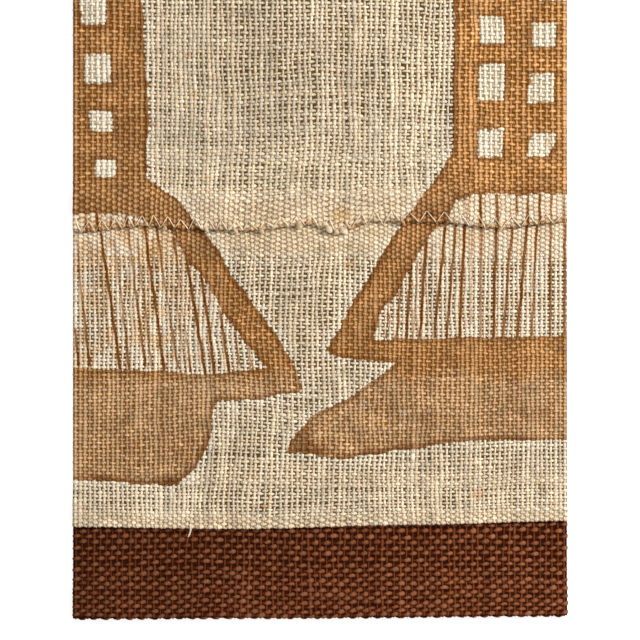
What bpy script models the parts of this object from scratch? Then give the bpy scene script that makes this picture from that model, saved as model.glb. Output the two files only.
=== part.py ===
"""A cut length of korhogo cloth: two handwoven cream cotton strips and a coarse brown border.

It lies face up on z = 0, its length along Y with the border at -Y, its strips running along X.
The origin is the bottom centre of the bounding box. All sizes are in metres.
"""

import math

import bmesh
import bpy

# Driving dimensions
WIDTH = 0.1976  # along the strips, from cut side to cut side
LENGTH = 0.2880  # from the hemmed border to the upper strip's free selvage
STRIP_WIDTH = 0.1300  # each cream strip, selvage to selvage
BORDER_SHOWN = 0.0376  # the brown band, from its hem to the lower strip's edge
BORDER_UNDER = 0.0085  # how far the band reaches under the lower strip
HEM = 0.0080  # the band's edge turned under
LAP = 0.0100  # how far the upper strip covers the lower one

# Cloth thicknesses and the space kept between layers
CREAM = 0.0014
BROWN = 0.0016
GAP = 0.0003

# Places along Y
BOTTOM = -LENGTH / 2
BORDER_EDGE = BOTTOM + BORDER_SHOWN
BORDER_END = BORDER_EDGE + BORDER_UNDER
SEAM = LENGTH / 2 - STRIP_WIDTH
LOWER_END = SEAM + LAP

# How far a layer takes to come down from the one below it to the ground
STEP_CLEAR = 0.0012
STEP_RUN = 0.0050

# Mesh spacing
COLUMNS = 46
FINE_ROW = 0.0012
COARSE_ROW = 0.0120
HEM_ROWS = 3
FOLD_STEPS = 6
SHARP_DEGREES = 50

# Wavy edges: share of the width from the left side, and how far the edge moves along +Y
SEAM_WAVE = (
    (0.00, -0.0024),
    (0.15, 0.0000),
    (0.24, -0.0012),
    (0.35, -0.0020),
    (0.48, 0.0004),
    (0.54, -0.0022),
    (0.61, 0.0018),
    (0.74, 0.0015),
    (0.86, -0.0008),
    (1.00, 0.0016),
)
BORDER_WAVE = (
    (0.00, 0.0000),
    (0.33, -0.0008),
    (0.70, 0.0009),
    (1.00, 0.0024),
)
HEM_WAVE = (
    (0.00, 0.0000),
    (0.45, 0.0004),
    (1.00, 0.0012),
)
TOP_WAVE = (
    (0.00, 0.0000),
    (0.30, -0.0009),
    (0.55, -0.0002),
    (0.80, -0.0010),
    (1.00, -0.0003),
)
WAVE_REACH = 0.0240  # the waves die out this far into the cloth

# The seam edge lifts a little between its stitches
PUCKER = 0.0003
PUCKER_PITCH = 0.0260
PUCKER_REACH = 0.0080

# Looks
CREAM_COLOUR = (0.66, 0.55, 0.38)
BROWN_COLOUR = (0.17, 0.045, 0.018)
COTTON_ROUGHNESS = 0.9


def ease(share):
    """Smooth step from 0 to 1."""
    share = min(max(share, 0.0), 1.0)
    return share * share * (3.0 - 2.0 * share)


def wave_at(table, share):
    """The edge's shift at a share of the width, eased between the table's rows."""
    for (start, low), (end, high) in zip(table, table[1:]):
        if share <= end:
            return low + (high - low) * ease((share - start) / (end - start))
    return table[-1][1]


def stations(start, end, fine_spans):
    """Row places from start to end, close together inside the spans and far apart elsewhere."""
    marks = {start, end}
    for low, high in fine_spans:
        marks.add(max(low, start))
        marks.add(min(high, end))
    marks = sorted(marks)
    rows = [start]
    for low, high in zip(marks, marks[1:]):
        middle = (low + high) / 2
        fine = any(a <= middle <= b for a, b in fine_spans)
        count = max(1, math.ceil((high - low) / (FINE_ROW if fine else COARSE_ROW)))
        rows += [low + (high - low) * (i + 1) / count for i in range(count)]
    return rows


def layer_height(y, support_end, support, thickness):
    """Mid-height of a layer that lies on a support up to support_end and then on the ground."""
    raised = support + GAP
    down = ease((y - support_end - STEP_CLEAR) / STEP_RUN)
    return thickness / 2 + raised * (1.0 - down)


def border_section():
    """Section of the brown band: its hem below, round the fold, and up over it."""
    radius = (BROWN + GAP) / 2
    fold = BOTTOM + radius + BROWN / 2
    low = BROWN / 2
    hem_row = HEM / HEM_ROWS
    points = [(fold + HEM - hem_row * i, low) for i in range(HEM_ROWS)]
    for i in range(FOLD_STEPS + 1):
        turn = math.pi * i / FOLD_STEPS
        points.append((fold - radius * math.sin(turn), low + radius * (1.0 - math.cos(turn))))
    hem_end = fold + HEM
    slope = (hem_end + STEP_CLEAR, hem_end + STEP_CLEAR + STEP_RUN)
    for y in stations(fold + hem_row, BORDER_END, [slope]):
        points.append((y, layer_height(y, hem_end, BROWN, BROWN)))
    return points


def lower_section():
    """Section of the lower strip: over the band's edge, then down to the ground."""
    slope = (BORDER_END + STEP_CLEAR, BORDER_END + STEP_CLEAR + STEP_RUN)
    rows = stations(BORDER_EDGE, LOWER_END, [slope])
    return [(y, layer_height(y, BORDER_END, BROWN, CREAM)) for y in rows]


def upper_section():
    """Section of the upper strip: over the lower strip's edge, then down to the ground."""
    slope = (LOWER_END + STEP_CLEAR, LOWER_END + STEP_CLEAR + STEP_RUN)
    rows = stations(SEAM, LENGTH / 2, [slope])
    return [(y, layer_height(y, LOWER_END, CREAM, CREAM)) for y in rows]


def pucker_at(x, y):
    """Extra height of the upper strip's edge, never below its rest height."""
    near = 1.0 - ease((y - SEAM) / PUCKER_REACH)
    return PUCKER * near * (0.5 + 0.5 * math.sin(2.0 * math.pi * x / PUCKER_PITCH))


def moved(y, share, low_edge, low_wave, high_edge, high_wave):
    """A row's place along Y once the two wavy edges have pulled it."""
    from_low = 1.0 - ease((y - low_edge) / WAVE_REACH)
    from_high = 1.0 - ease((high_edge - y) / WAVE_REACH)
    shift = wave_at(low_wave, share) * from_low
    if high_wave:
        shift += wave_at(high_wave, share) * from_high
    return y + shift


def cotton(name, colour):
    made = bpy.data.materials.new(name)
    made.use_nodes = True
    shader = made.node_tree.nodes["Principled BSDF"]
    shader.inputs["Base Color"].default_value = (*colour, 1.0)
    shader.inputs["Roughness"].default_value = COTTON_ROUGHNESS
    shader.inputs["Metallic"].default_value = 0.0
    return made


def cloth(name, section, thickness, cloth_material, collection, place):
    """One piece of cloth: a grid whose rows follow the section, thickened both ways."""
    shape = bmesh.new()
    rows = len(section) - 1
    bmesh.ops.create_grid(shape, x_segments=COLUMNS, y_segments=rows, size=1.0)
    for vertex in shape.verts:
        share = (vertex.co.x + 1.0) / 2
        row = round((vertex.co.y + 1.0) / 2 * rows)
        y, z = section[row]
        x = (share - 0.5) * WIDTH
        vertex.co = place(x, y, z, share)
    mesh = bpy.data.meshes.new(name)
    shape.to_mesh(mesh)
    shape.free()
    mesh.shade_smooth()
    mesh.set_sharp_from_angle(angle=math.radians(SHARP_DEGREES))
    made = bpy.data.objects.new(name, mesh)
    collection.objects.link(made)
    mesh.materials.append(cloth_material)
    solid = made.modifiers.new("thickness", "SOLIDIFY")
    solid.thickness = thickness
    solid.offset = 0.0
    solid.use_even_offset = True
    return made


def border_place(x, y, z, share):
    return (x, moved(y, share, BOTTOM, HEM_WAVE, BORDER_END, None), z)


def lower_place(x, y, z, share):
    return (x, moved(y, share, BORDER_EDGE, BORDER_WAVE, LOWER_END, None), z)


def upper_place(x, y, z, share):
    height = z + pucker_at(x, y)
    return (x, moved(y, share, SEAM, SEAM_WAVE, LENGTH / 2, TOP_WAVE), height)


def clear_scene():
    for thing in list(bpy.data.objects):
        bpy.data.objects.remove(thing, do_unlink=True)


def build():
    clear_scene()
    collection = bpy.data.collections.new("korhogo_cloth")
    bpy.context.scene.collection.children.link(collection)
    cream = cotton("cream_cotton", CREAM_COLOUR)
    brown = cotton("brown_cotton", BROWN_COLOUR)
    pieces = (
        cloth("border_band", border_section(), BROWN, brown, collection, border_place),
        cloth("lower_strip", lower_section(), CREAM, cream, collection, lower_place),
        cloth("upper_strip", upper_section(), CREAM, cream, collection, upper_place),
    )
    origin = bpy.data.objects.new("korhogo_cloth_origin", None)
    collection.objects.link(origin)
    for piece in pieces:
        piece.parent = origin


build()
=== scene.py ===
"""Looks of the korhogo cloth: every yarn of its two strips and border, its seam and its dye.

Working sizes are in millimetres, and mesh_from turns them into metres. X runs along the strips,
Y from the hemmed border to the free selvage, and Z up from the surface that the cloth lies on.
"""

import math
from dataclasses import dataclass

import bpy
import numpy as np
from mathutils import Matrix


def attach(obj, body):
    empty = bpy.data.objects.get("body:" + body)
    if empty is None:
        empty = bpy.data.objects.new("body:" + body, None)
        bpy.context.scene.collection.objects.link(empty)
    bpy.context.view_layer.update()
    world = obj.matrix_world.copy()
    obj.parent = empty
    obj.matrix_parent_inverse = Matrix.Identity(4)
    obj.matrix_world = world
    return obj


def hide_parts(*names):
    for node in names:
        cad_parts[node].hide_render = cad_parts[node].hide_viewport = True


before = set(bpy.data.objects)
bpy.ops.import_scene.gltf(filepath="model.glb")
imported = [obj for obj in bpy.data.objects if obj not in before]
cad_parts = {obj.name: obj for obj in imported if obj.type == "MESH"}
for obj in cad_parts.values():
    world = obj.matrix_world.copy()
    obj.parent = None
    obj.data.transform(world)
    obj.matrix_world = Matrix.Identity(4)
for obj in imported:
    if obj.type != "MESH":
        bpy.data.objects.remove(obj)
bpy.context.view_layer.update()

METRES = 0.001

# Sizes that the solids were made to
WIDTH = 197.6
LENGTH = 288.0
STRIP_WIDTH = 130.0
BORDER_SHOWN = 37.6
BORDER_UNDER = 8.5
HEM = 8.0
LAP = 10.0
CREAM = 1.4
BROWN = 1.6
GAP = 0.3
STEP_CLEAR = 1.2
STEP_RUN = 5.0
WAVE_REACH = 24.0
PUCKER = 0.3
PUCKER_PITCH = 26.0
PUCKER_REACH = 8.0

BOTTOM = -LENGTH / 2
TOP = LENGTH / 2
BORDER_EDGE = BOTTOM + BORDER_SHOWN
BORDER_END = BORDER_EDGE + BORDER_UNDER
SEAM = TOP - STRIP_WIDTH
LOWER_END = SEAM + LAP

# Wavy edges: share of the width from the left, and how far the edge moves along +Y
SEAM_WAVE = (
    (0.00, -2.4),
    (0.15, 0.0),
    (0.24, -1.2),
    (0.35, -2.0),
    (0.48, 0.4),
    (0.54, -2.2),
    (0.61, 1.8),
    (0.74, 1.5),
    (0.86, -0.8),
    (1.00, 1.6),
)
BORDER_WAVE = ((0.00, 0.0), (0.33, -0.8), (0.70, 0.9), (1.00, 2.4))
HEM_WAVE = ((0.00, 0.0), (0.45, 0.4), (1.00, 1.2))
TOP_WAVE = ((0.00, 0.0), (0.30, -0.9), (0.55, -0.2), (0.80, -1.0), (1.00, -0.3))


def ease(share):
    """Smooth step from 0 to 1."""
    share = np.clip(share, 0.0, 1.0)
    return share * share * (3.0 - 2.0 * share)


def wave_at(table, share):
    """The edge's shift at each share of the width, eased between the table's rows."""
    starts, shifts = np.array(table).T
    row = np.clip(np.searchsorted(starts, share, side="right") - 1, 0, len(starts) - 2)
    along = ease((share - starts[row]) / (starts[row + 1] - starts[row]))
    return shifts[row] + (shifts[row + 1] - shifts[row]) * along


def drift(rng, count, points, knots):
    """Smooth random rows, one for each yarn, with about one swell to a knot."""
    values = rng.normal(size=(count, max(knots, 2)))
    at = np.linspace(0.0, values.shape[1] - 1.0, points)
    low = np.minimum(at.astype(int), values.shape[1] - 2)
    along = ease(at - low)
    return values[:, low] * (1.0 - along) + values[:, low + 1] * along


def field(seed, x, y, cell):
    """Smooth random height over the plane, about -1 to 1, with swells one cell wide."""
    table = np.random.default_rng(seed).uniform(-1.0, 1.0, (64, 64))
    u = x / cell + 200.0
    v = y / cell + 200.0
    i = np.floor(u).astype(int)
    j = np.floor(v).astype(int)
    a = ease(u - i)
    b = ease(v - j)
    low = table[i % 64, j % 64] * (1.0 - a) + table[(i + 1) % 64, j % 64] * a
    high = table[i % 64, (j + 1) % 64] * (1.0 - a) + table[(i + 1) % 64, (j + 1) % 64] * a
    return low * (1.0 - b) + high * b


class Section:
    """The mid-line of a piece of cloth in the YZ plane, read by its length from the start."""

    def __init__(self, points):
        self.y, self.z = np.array(points).T
        steps = np.hypot(np.diff(self.y), np.diff(self.z))
        self.s = np.concatenate(([0.0], np.cumsum(steps)))
        self.length = self.s[-1]

    def at(self, s):
        """Place and direction at s, going straight on past either end."""
        reach = 0.25
        held = np.clip(s, 0.0, self.length)
        before = np.clip(held - reach, 0.0, self.length)
        after = np.clip(held + reach, 0.0, self.length)
        dy = np.interp(after, self.s, self.y) - np.interp(before, self.s, self.y)
        dz = np.interp(after, self.s, self.z) - np.interp(before, self.s, self.z)
        size = np.hypot(dy, dz)
        dy = dy / size
        dz = dz / size
        y = np.interp(held, self.s, self.y) + dy * (s - held)
        z = np.interp(held, self.s, self.z) + dz * (s - held)
        return y, z, dy, dz


def layer_section(start, end, support_end, support, thickness):
    """Mid-line of a strip that lies on a support up to support_end and then on the ground."""
    y = np.linspace(start, end, 600)
    down = ease((y - support_end - STEP_CLEAR) / STEP_RUN)
    z = thickness / 2 + (support + GAP) * (1.0 - down)
    return Section(np.column_stack((y, z)))


def border_section():
    """Mid-line of the brown band: its hem below, round the fold, and up over it."""
    radius = (BROWN + GAP) / 2
    fold = BOTTOM + radius + BROWN / 2
    turns = np.linspace(0.0, math.pi, 40)
    hem = np.column_stack((np.linspace(fold + HEM, fold + 0.1, 40), np.full(40, BROWN / 2)))
    bend_y = fold - radius * np.sin(turns)
    bend_z = BROWN / 2 + radius * (1.0 - np.cos(turns))
    y = np.linspace(fold + 0.1, BORDER_END, 400)
    down = ease((y - fold - HEM - STEP_CLEAR) / STEP_RUN)
    z = BROWN / 2 + (BROWN + GAP) * (1.0 - down)
    over = np.column_stack((y, z))
    return Section(np.vstack((hem, np.column_stack((bend_y, bend_z)), over)))


@dataclass
class Float:
    """How a yarn passes over another: its points there, their height, fullness and slant.

    The points are in shares of a crossing from its middle. Under the other yarn it has one point.
    The last number is how much one yarn differs from the next.
    """

    at: tuple
    level: tuple
    full: tuple
    side: tuple
    under_level: float
    under_full: float
    uneven: float


WEFT_FLOAT = Float(
    at=(-0.25, 0.25),
    level=(1.0, 1.0),
    full=(1.0, 1.0),
    side=(0.0, 0.0),
    under_level=-0.92,
    under_full=0.90,
    uneven=1.0,
)
WARP_FLOAT = Float(
    at=(-0.33, 0.0, 0.33),
    level=(0.46, 1.0, 0.60),
    full=(0.76, 1.0, 0.90),
    side=(-0.4, 0.0, 1.0),
    under_level=-0.92,
    under_full=0.55,
    uneven=0.6,
)
BORDER_WEFT = Float(
    at=(-0.25, 0.25),
    level=(1.0, 1.0),
    full=(1.0, 1.0),
    side=(0.0, 0.0),
    under_level=-0.92,
    under_full=0.95,
    uneven=0.6,
)
BORDER_WARP = Float(
    at=(-0.40, 0.04, 0.36),
    level=(0.45, 0.94, 0.86),
    full=(0.60, 0.92, 1.0),
    side=(-0.5, 0.0, 1.0),
    under_level=-0.92,
    under_full=0.50,
    uneven=0.45,
)


@dataclass
class Cloth:
    """One piece of cloth and how its yarns lie, in millimetres.

    The pitch tables give the spacing from yarn to yarn at a few places along the way, the rows
    from the section's start and the columns from the left side.
    """

    name: str
    node: str
    slot: str
    section: Section
    low_edge: float
    low_wave: tuple
    high_edge: float
    high_wave: tuple
    lines: tuple
    row_pitch: tuple
    column_pitch: tuple
    weft_half: float
    warp_half: float
    thick: float
    weft_rise: float
    warp_rise: float
    slant: float
    slant_more: float
    weft_float: Float
    warp_float: Float
    sides: int
    seed: int
    puckers: bool = False


def lift_at(cloth, x, y):
    """Extra height of the seam's edge between its stitches."""
    if not cloth.puckers:
        return 0.0 * x
    near = 1.0 - ease((y - cloth.low_edge) / PUCKER_REACH)
    return PUCKER * near * (0.5 + 0.5 * np.sin(2.0 * math.pi * x / PUCKER_PITCH))


def placed(cloth, x, s, height):
    """Turns flat places on a cloth, with a height above its mid-line, into points and normals."""
    y, z, along_y, along_z = cloth.section.at(s)
    share = x / WIDTH + 0.5
    shift = wave_at(cloth.low_wave, share) * (1.0 - ease((y - cloth.low_edge) / WAVE_REACH))
    if cloth.high_wave:
        near = 1.0 - ease((cloth.high_edge - y) / WAVE_REACH)
        shift = shift + wave_at(cloth.high_wave, share) * near
    lift = lift_at(cloth, x, y)
    points = np.stack((x, y + shift - along_z * height, z + lift + along_y * height), axis=-1)
    normals = np.stack((0.0 * x, -along_z + 0.0 * x, along_y + 0.0 * x), axis=-1)
    return points, normals


# The painted figures. Each outline is a few corners in millimetres, x and y.
LEFT_TRUNK = (
    (-120.0, 160.0),
    (-71.6, 160.0),
    (-71.2, 104.0),
    (-69.4, 68.0),
    (-68.4, 54.0),
    (-69.4, 44.0),
    (-69.2, 31.8),
    (-62.5, 27.8),
    (-57.5, 24.6),
    (-53.0, 19.8),
    (-49.0, 14.0),
    (-46.4, 10.6),
    (-41.6, 4.4),
    (-35.2, -6.4),
    (-24.0, -20.4),
    (-15.2, -34.0),
    (-9.6, -44.4),
    (-6.9, -50.0),
    (-8.4, -53.4),
    (-25.0, -55.5),
    (-40.6, -56.2),
    (-43.0, -58.0),
    (-43.2, -68.0),
    (-45.6, -76.0),
    (-51.0, -84.4),
    (-57.0, -89.2),
    (-64.0, -90.4),
    (-78.0, -88.6),
    (-120.0, -87.0),
)
LEFT_SKIRT = (
    (-120.0, 18.8),
    (-76.5, 18.8),
    (-70.0, 14.8),
    (-60.0, 12.4),
    (-56.5, 5.8),
    (-51.6, -1.0),
    (-42.0, -14.4),
    (-37.8, -23.2),
    (-31.6, -30.2),
    (-21.6, -43.6),
    (-45.0, -45.4),
    (-75.0, -44.2),
    (-120.0, -43.0),
)
RIGHT_TRUNK = (
    (120.0, 160.0),
    (54.0, 160.0),
    (53.8, 104.0),
    (53.4, 69.0),
    (53.2, 43.4),
    (45.3, 32.0),
    (38.8, 22.4),
    (32.8, 15.4),
    (28.4, 7.8),
    (17.4, -10.8),
    (11.2, -19.0),
    (6.4, -31.2),
    (2.0, -36.0),
    (7.0, -38.4),
    (18.7, -40.6),
    (30.4, -41.0),
    (26.3, -44.6),
    (21.5, -48.6),
    (12.5, -54.8),
    (2.9, -59.6),
    (-4.0, -63.0),
    (-10.0, -70.4),
    (-14.0, -77.4),
    (-4.0, -77.4),
    (8.4, -79.6),
    (18.8, -77.8),
    (34.4, -76.0),
    (56.4, -72.6),
    (71.6, -71.8),
    (120.0, -72.6),
)
RIGHT_SKIRT = (
    (120.0, 26.0),
    (62.0, 26.4),
    (55.0, 24.0),
    (51.6, 19.0),
    (51.0, 15.0),
    (46.6, 13.4),
    (41.0, 5.0),
    (36.6, -1.4),
    (30.4, -13.6),
    (23.6, -22.4),
    (21.6, -31.6),
    (60.0, -31.0),
    (120.0, -30.2),
)

# Bare squares left in the paint: middle x and y, width, height, and how far the top leans left
SQUARES = (
    (-92.0, 143.0, 10.4, 11.0, 0.2),
    (-91.2, 121.6, 10.4, 12.0, 0.3),
    (-90.2, 100.2, 10.7, 12.0, 0.2),
    (-88.7, 76.6, 10.4, 11.8, 0.8),
    (-87.3, 55.8, 9.6, 8.4, 0.6),
    (-86.0, 36.9, 8.4, 7.0, 0.0),
    (69.6, 133.6, 10.4, 11.0, 0.0),
    (69.2, 112.8, 10.2, 10.6, -0.2),
    (68.8, 91.8, 10.0, 10.8, 0.0),
    (68.3, 71.1, 10.6, 14.6, -0.8),
    (68.0, 46.8, 9.8, 11.6, 0.0),
    (92.4, 130.4, 10.6, 11.0, -0.4),
    (93.0, 108.8, 10.6, 10.4, -0.4),
    (89.4, 90.2, 10.2, 9.6, -0.8),
    (88.2, 68.8, 10.2, 11.8, -0.3),
    (86.9, 46.0, 9.4, 9.2, -3.0),
)

# Thin painted lines of the skirts: x at the top, lean, highest y, lowest y, and how strong they
# are at the top, the middle and the bottom
UPPER_LINES = (
    (-93.4, 0.05, 17.0, 10.8, 0.45, 0.8, 1.0),
    (-89.1, 0.07, 18.6, 12.0, 0.9, 1.0, 1.0),
    (-83.8, 0.08, 17.4, 13.0, 0.5, 0.8, 0.95),
    (-77.2, 0.02, 18.4, 13.0, 0.95, 1.0, 1.0),
    (-74.5, 0.05, 18.4, 14.0, 0.55, 0.7, 0.8),
    (-70.8, 0.05, 16.4, 14.2, 0.6, 0.65, 0.7),
    (58.8, 0.03, 25.5, 15.5, 0.7, 0.8, 0.95),
    (64.4, 0.0, 26.4, 14.6, 0.9, 1.0, 1.0),
    (70.8, 0.0, 26.4, 14.6, 0.85, 0.9, 1.0),
    (78.4, 0.05, 26.4, 19.0, 0.7, 0.7, 0.7),
    (82.9, 0.0, 25.0, 14.8, 0.7, 0.9, 1.0),
    (87.7, 0.0, 26.4, 14.6, 0.9, 0.9, 0.9),
    (92.5, 0.0, 26.4, 17.0, 0.7, 0.65, 0.6),
    (97.6, 0.0, 26.0, 14.0, 0.6, 0.65, 0.7),
)
LOWER_LINES = (
    (-97.4, 0.10, 8.0, -42.0, 0.45, 0.7, 1.0),
    (-98.0, 0.10, -28.0, -42.0, 0.8, 0.9, 1.0),
    (-92.3, 0.12, 8.0, -38.0, 0.40, 0.4, 0.45),
    (-87.8, 0.147, 10.8, -43.4, 1.0, 1.0, 1.0),
    (-82.3, 0.122, 7.5, -43.0, 0.45, 0.65, 0.90),
    (-77.0, 0.129, 12.8, -42.0, 0.55, 0.75, 0.95),
    (-73.2, 0.117, 8.0, -43.2, 0.55, 0.6, 0.70),
    (-70.2, 0.140, 13.0, -44.0, 1.0, 1.0, 1.0),
    (-65.6, 0.156, 13.6, -43.0, 0.95, 0.5, 0.85),
    (-58.5, 0.126, 9.0, -44.6, 1.0, 0.2, 0.95),
    (-54.0, 0.166, 4.0, -46.0, 1.0, 1.0, 1.0),
    (-47.3, 0.135, -6.5, -45.6, 1.0, 1.0, 1.0),
    (-39.8, 0.142, -21.0, -45.0, 0.85, 0.95, 1.0),
    (-34.0, 0.13, -29.0, -41.5, 0.7, 0.7, 0.7),
    (-30.0, 0.20, -30.0, -44.4, 0.75, 0.85, 0.95),
    (28.2, -0.10, -16.0, -30.8, 0.8, 0.85, 0.9),
    (33.0, -0.085, -4.0, -30.8, 0.7, 0.75, 0.8),
    (36.9, -0.07, 2.0, -31.0, 0.95, 0.95, 0.95),
    (42.5, -0.065, 8.5, -31.0, 1.0, 1.0, 0.95),
    (50.3, -0.105, 13.4, -31.0, 1.0, 0.95, 0.9),
    (54.3, -0.085, 13.8, -31.0, 0.85, 0.85, 0.9),
    (57.9, -0.048, 14.4, -31.0, 1.0, 1.0, 1.0),
    (60.7, 0.0, 13.4, -25.0, 0.55, 0.35, 0.4),
    (64.5, 0.0, 14.4, -31.0, 0.8, 0.7, 0.6),
    (70.5, -0.025, 14.4, -31.0, 1.0, 0.95, 0.9),
    (77.0, -0.085, 14.4, -31.0, 0.85, 0.85, 0.9),
    (82.7, -0.08, 14.4, -31.0, 1.0, 1.0, 0.95),
    (86.7, -0.045, 14.4, -31.0, 0.95, 0.7, 0.85),
    (92.3, -0.005, 14.4, -31.0, 0.65, 0.9, 0.75),
    (98.0, 0.0, 14.4, -31.0, 0.85, 0.85, 0.85),
)
FAINT_LINES = 90
LINE_APART = 1.9

# The lighter brown of the feet: below this height the paint was thinner
WASH_TOP = -42.0
WASH_REACH = 9.0


def outline_distance(x, y, corners):
    """Signed distance to a closed outline, negative inside."""
    inside = np.zeros(x.shape, bool)
    best = np.full(x.shape, 1e9)
    for (ax, ay), (bx, by) in zip(corners, corners[1:] + corners[:1]):
        ex = bx - ax
        ey = by - ay
        share = np.clip(((x - ax) * ex + (y - ay) * ey) / (ex * ex + ey * ey), 0.0, 1.0)
        best = np.minimum(best, np.hypot(x - ax - share * ex, y - ay - share * ey))
        if ay != by:
            inside ^= ((ay > y) != (by > y)) & (x < ax + ex * (y - ay) / ey)
    return np.where(inside, -best, best)


def square_distance(x, y, square):
    """Signed distance to one bare square, negative inside."""
    middle_x, middle_y, width, height, lean = square
    up = (y - middle_y) / height
    across = np.abs(x - middle_x + lean * (up + 0.5)) - width / 2
    return np.maximum(across, np.abs(y - middle_y) - height / 2)


def painted_distance(x, y):
    """Signed distance to the painted ground, negative where the cloth is painted."""
    wobble_x = x + 0.5 * field(11, x, y, 6.0) + 0.25 * field(12, x, y, 2.2)
    wobble_y = y + 0.5 * field(13, x, y, 6.0) + 0.25 * field(14, x, y, 2.2)
    left = outline_distance(wobble_x, wobble_y, LEFT_TRUNK)
    right = outline_distance(wobble_x, wobble_y, RIGHT_TRUNK)
    bare = np.minimum(
        outline_distance(wobble_x, wobble_y, LEFT_SKIRT),
        outline_distance(wobble_x, wobble_y, RIGHT_SKIRT),
    )
    for square in SQUARES:
        bare = np.minimum(bare, square_distance(wobble_x, wobble_y, square))
    return np.maximum(np.minimum(left, right), -bare)


def skirt_distance(x, y):
    """Signed distance to the two skirts, negative inside."""
    left = outline_distance(x, y, LEFT_SKIRT)
    right = outline_distance(x, y, RIGHT_SKIRT)
    return np.minimum(left, right)


def with_faint_lines(lines):
    """The lines with fainter ones between them, at places drawn once and for all."""
    rng = np.random.default_rng(301)
    lines = list(lines)
    for _ in range(FAINT_LINES):
        left = rng.uniform() < 0.5
        x = rng.uniform(-98.0, -34.0) if left else rng.uniform(26.0, 98.0)
        lean = 0.13 if left else -0.06
        high = rng.uniform(-14.0, 14.0) if left else rng.uniform(-4.0, 14.0)
        low = high - rng.uniform(12.0, 44.0)
        strength = rng.uniform(0.30, 0.55)
        apart = 99.0
        for line in lines:
            for y in (10.0, -35.0):
                other = line[0] + line[1] * (line[2] - y)
                apart = min(apart, abs(x + lean * (high - y) - other))
        if apart > LINE_APART:
            lines.append((x, lean, high, low, strength, 0.8 * strength, strength))
    return lines


def line_places(x, y, lines):
    """Place among the painted lines, where each whole number is a line, gap and strength."""
    start, lean, high, low, top, middle, bottom = np.array(lines).T
    stray = 0.28 * field(61, x, y, 5.0) + 0.16 * field(62, x, y, 1.8)
    x = x + stray
    down = np.clip((high - y[:, None]) / (high - low), 0.0, 1.0) * 2.0
    weight = top + (middle - top) * np.minimum(down, 1.0)
    weight = weight + (bottom - middle) * np.maximum(down - 1.0, 0.0)
    beyond = np.maximum(np.maximum(y[:, None] - high, low - y[:, None]), 0.0)
    strength = weight * ease(1.0 - beyond / 1.5)
    place = start + lean * (high - y[:, None])
    order = np.argsort(place, axis=1)
    place = np.pad(np.take_along_axis(place, order, axis=1), ((0, 0), (1, 1)))
    place[:, 0] = place[:, 1] - 9.0
    place[:, -1] = place[:, -2] + 9.0
    strength = np.pad(np.take_along_axis(strength, order, axis=1), ((0, 0), (1, 1)))
    before = np.clip((place < x[:, None]).sum(axis=1) - 1, 0, place.shape[1] - 2)[:, None]
    left = np.take_along_axis(place, before, axis=1)[:, 0]
    right = np.take_along_axis(place, before + 1, axis=1)[:, 0]
    share = np.clip((x - left) / (right - left), 0.0, 1.0)
    nearest = before + (share > 0.5)[:, None]
    return before[:, 0] + share, right - left, np.take_along_axis(strength, nearest, axis=1)[:, 0]


# Colours, as linear light: on top of the yarns, and deep between them, where the darker colour is painted
# shade
COTTON_TOP = np.array((0.655, 0.563, 0.428))
COTTON_DEEP = np.array((0.33, 0.225, 0.115))
COTTON_TINTS = np.array(
    (
        (1.00, 1.00, 1.00),
        (1.02, 1.03, 1.04),
        (1.00, 0.95, 0.90),
        (0.98, 0.985, 0.93),
        (0.95, 0.94, 0.92),
        (1.01, 0.98, 0.96),
        (0.94, 0.89, 0.81),
    )
)
# Whiter cloth, with painted shade in its deep colour too
BLEACHED_TOP = np.array((0.72, 0.665, 0.56))
BLEACHED_DEEP = np.array((0.54, 0.43, 0.29))

# Painted shade along the seam's crease: a warm darkening beside the upper strip's edge
SEAM_SHADE_TINT = np.array((0.58, 0.37, 0.18))

# What the dye's seepage takes out of the bare cotton between the skirts' lines
SKIRT_WARMTH = (0.5, 1.2, 1.9)

# Dyes, with painted shade from deep between the yarns to a middle step, and lighter on the tops of the
# floats, where the dye wears thin and which is also painted highlight
OCHRE_TOP = np.array((0.67, 0.44, 0.235))
OCHRE_MID = np.array((0.39, 0.19, 0.062))
OCHRE_DEEP = np.array((0.185, 0.064, 0.009))
TAN_TOP = np.array((0.66, 0.485, 0.315))
TAN_MID = np.array((0.455, 0.282, 0.142))
TAN_DEEP = np.array((0.22, 0.100, 0.026))
RUST_TOP = np.array((0.30, 0.132, 0.045))
RUST_MID = np.array((0.17, 0.060, 0.012))
RUST_DEEP = np.array((0.09, 0.024, 0.003))
# The brown border's yarn, with the same painted shade and highlight
BROWN_TOP = np.array((0.280, 0.114, 0.057))
BROWN_MID = np.array((0.122, 0.030, 0.0075))
BROWN_DEEP = np.array((0.038, 0.0050, 0.0005))
BROWN_TINTS = np.array(
    (
        (1.00, 1.00, 1.00),
        (1.05, 1.04, 1.04),
        (0.96, 0.97, 0.94),
        (0.93, 0.92, 0.92),
        (1.05, 0.99, 0.97),
    )
)
MUSTARD = (0.50, 0.31, 0.10)
STAIN = (0.40, 0.20, 0.07)
RUST = (0.42, 0.13, 0.04)
DARK_SPOT = (0.12, 0.07, 0.045)

# Knots and stains in the yarns: x, y, radius and colour
SPECKS = (
    (-53.2, 82.4, 1.1, RUST),
    (-66.0, 54.0, 1.0, RUST),
    (-22.0, -98.0, 1.6, MUSTARD),
    (63.2, -93.8, 2.4, STAIN),
    (24.8, -84.4, 1.0, DARK_SPOT),
    (8.4, 17.6, 3.4, MUSTARD),
    (-21.6, 85.6, 1.0, MUSTARD),
    (-8.8, 79.6, 0.9, RUST),
    (-50.4, 66.0, 1.5, MUSTARD),
    (16.0, 96.0, 1.0, MUSTARD),
    (33.2, -64.0, 2.0, DARK_SPOT),
    (70.0, -60.0, 2.6, DARK_SPOT),
    (92.0, -58.0, 2.4, DARK_SPOT),
    (-84.0, -66.0, 2.2, DARK_SPOT),
    (12.0, -2.0, 2.0, MUSTARD),
    (-18.0, -24.0, 1.6, MUSTARD),
)
SMALL_SPECKS = 120


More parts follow.
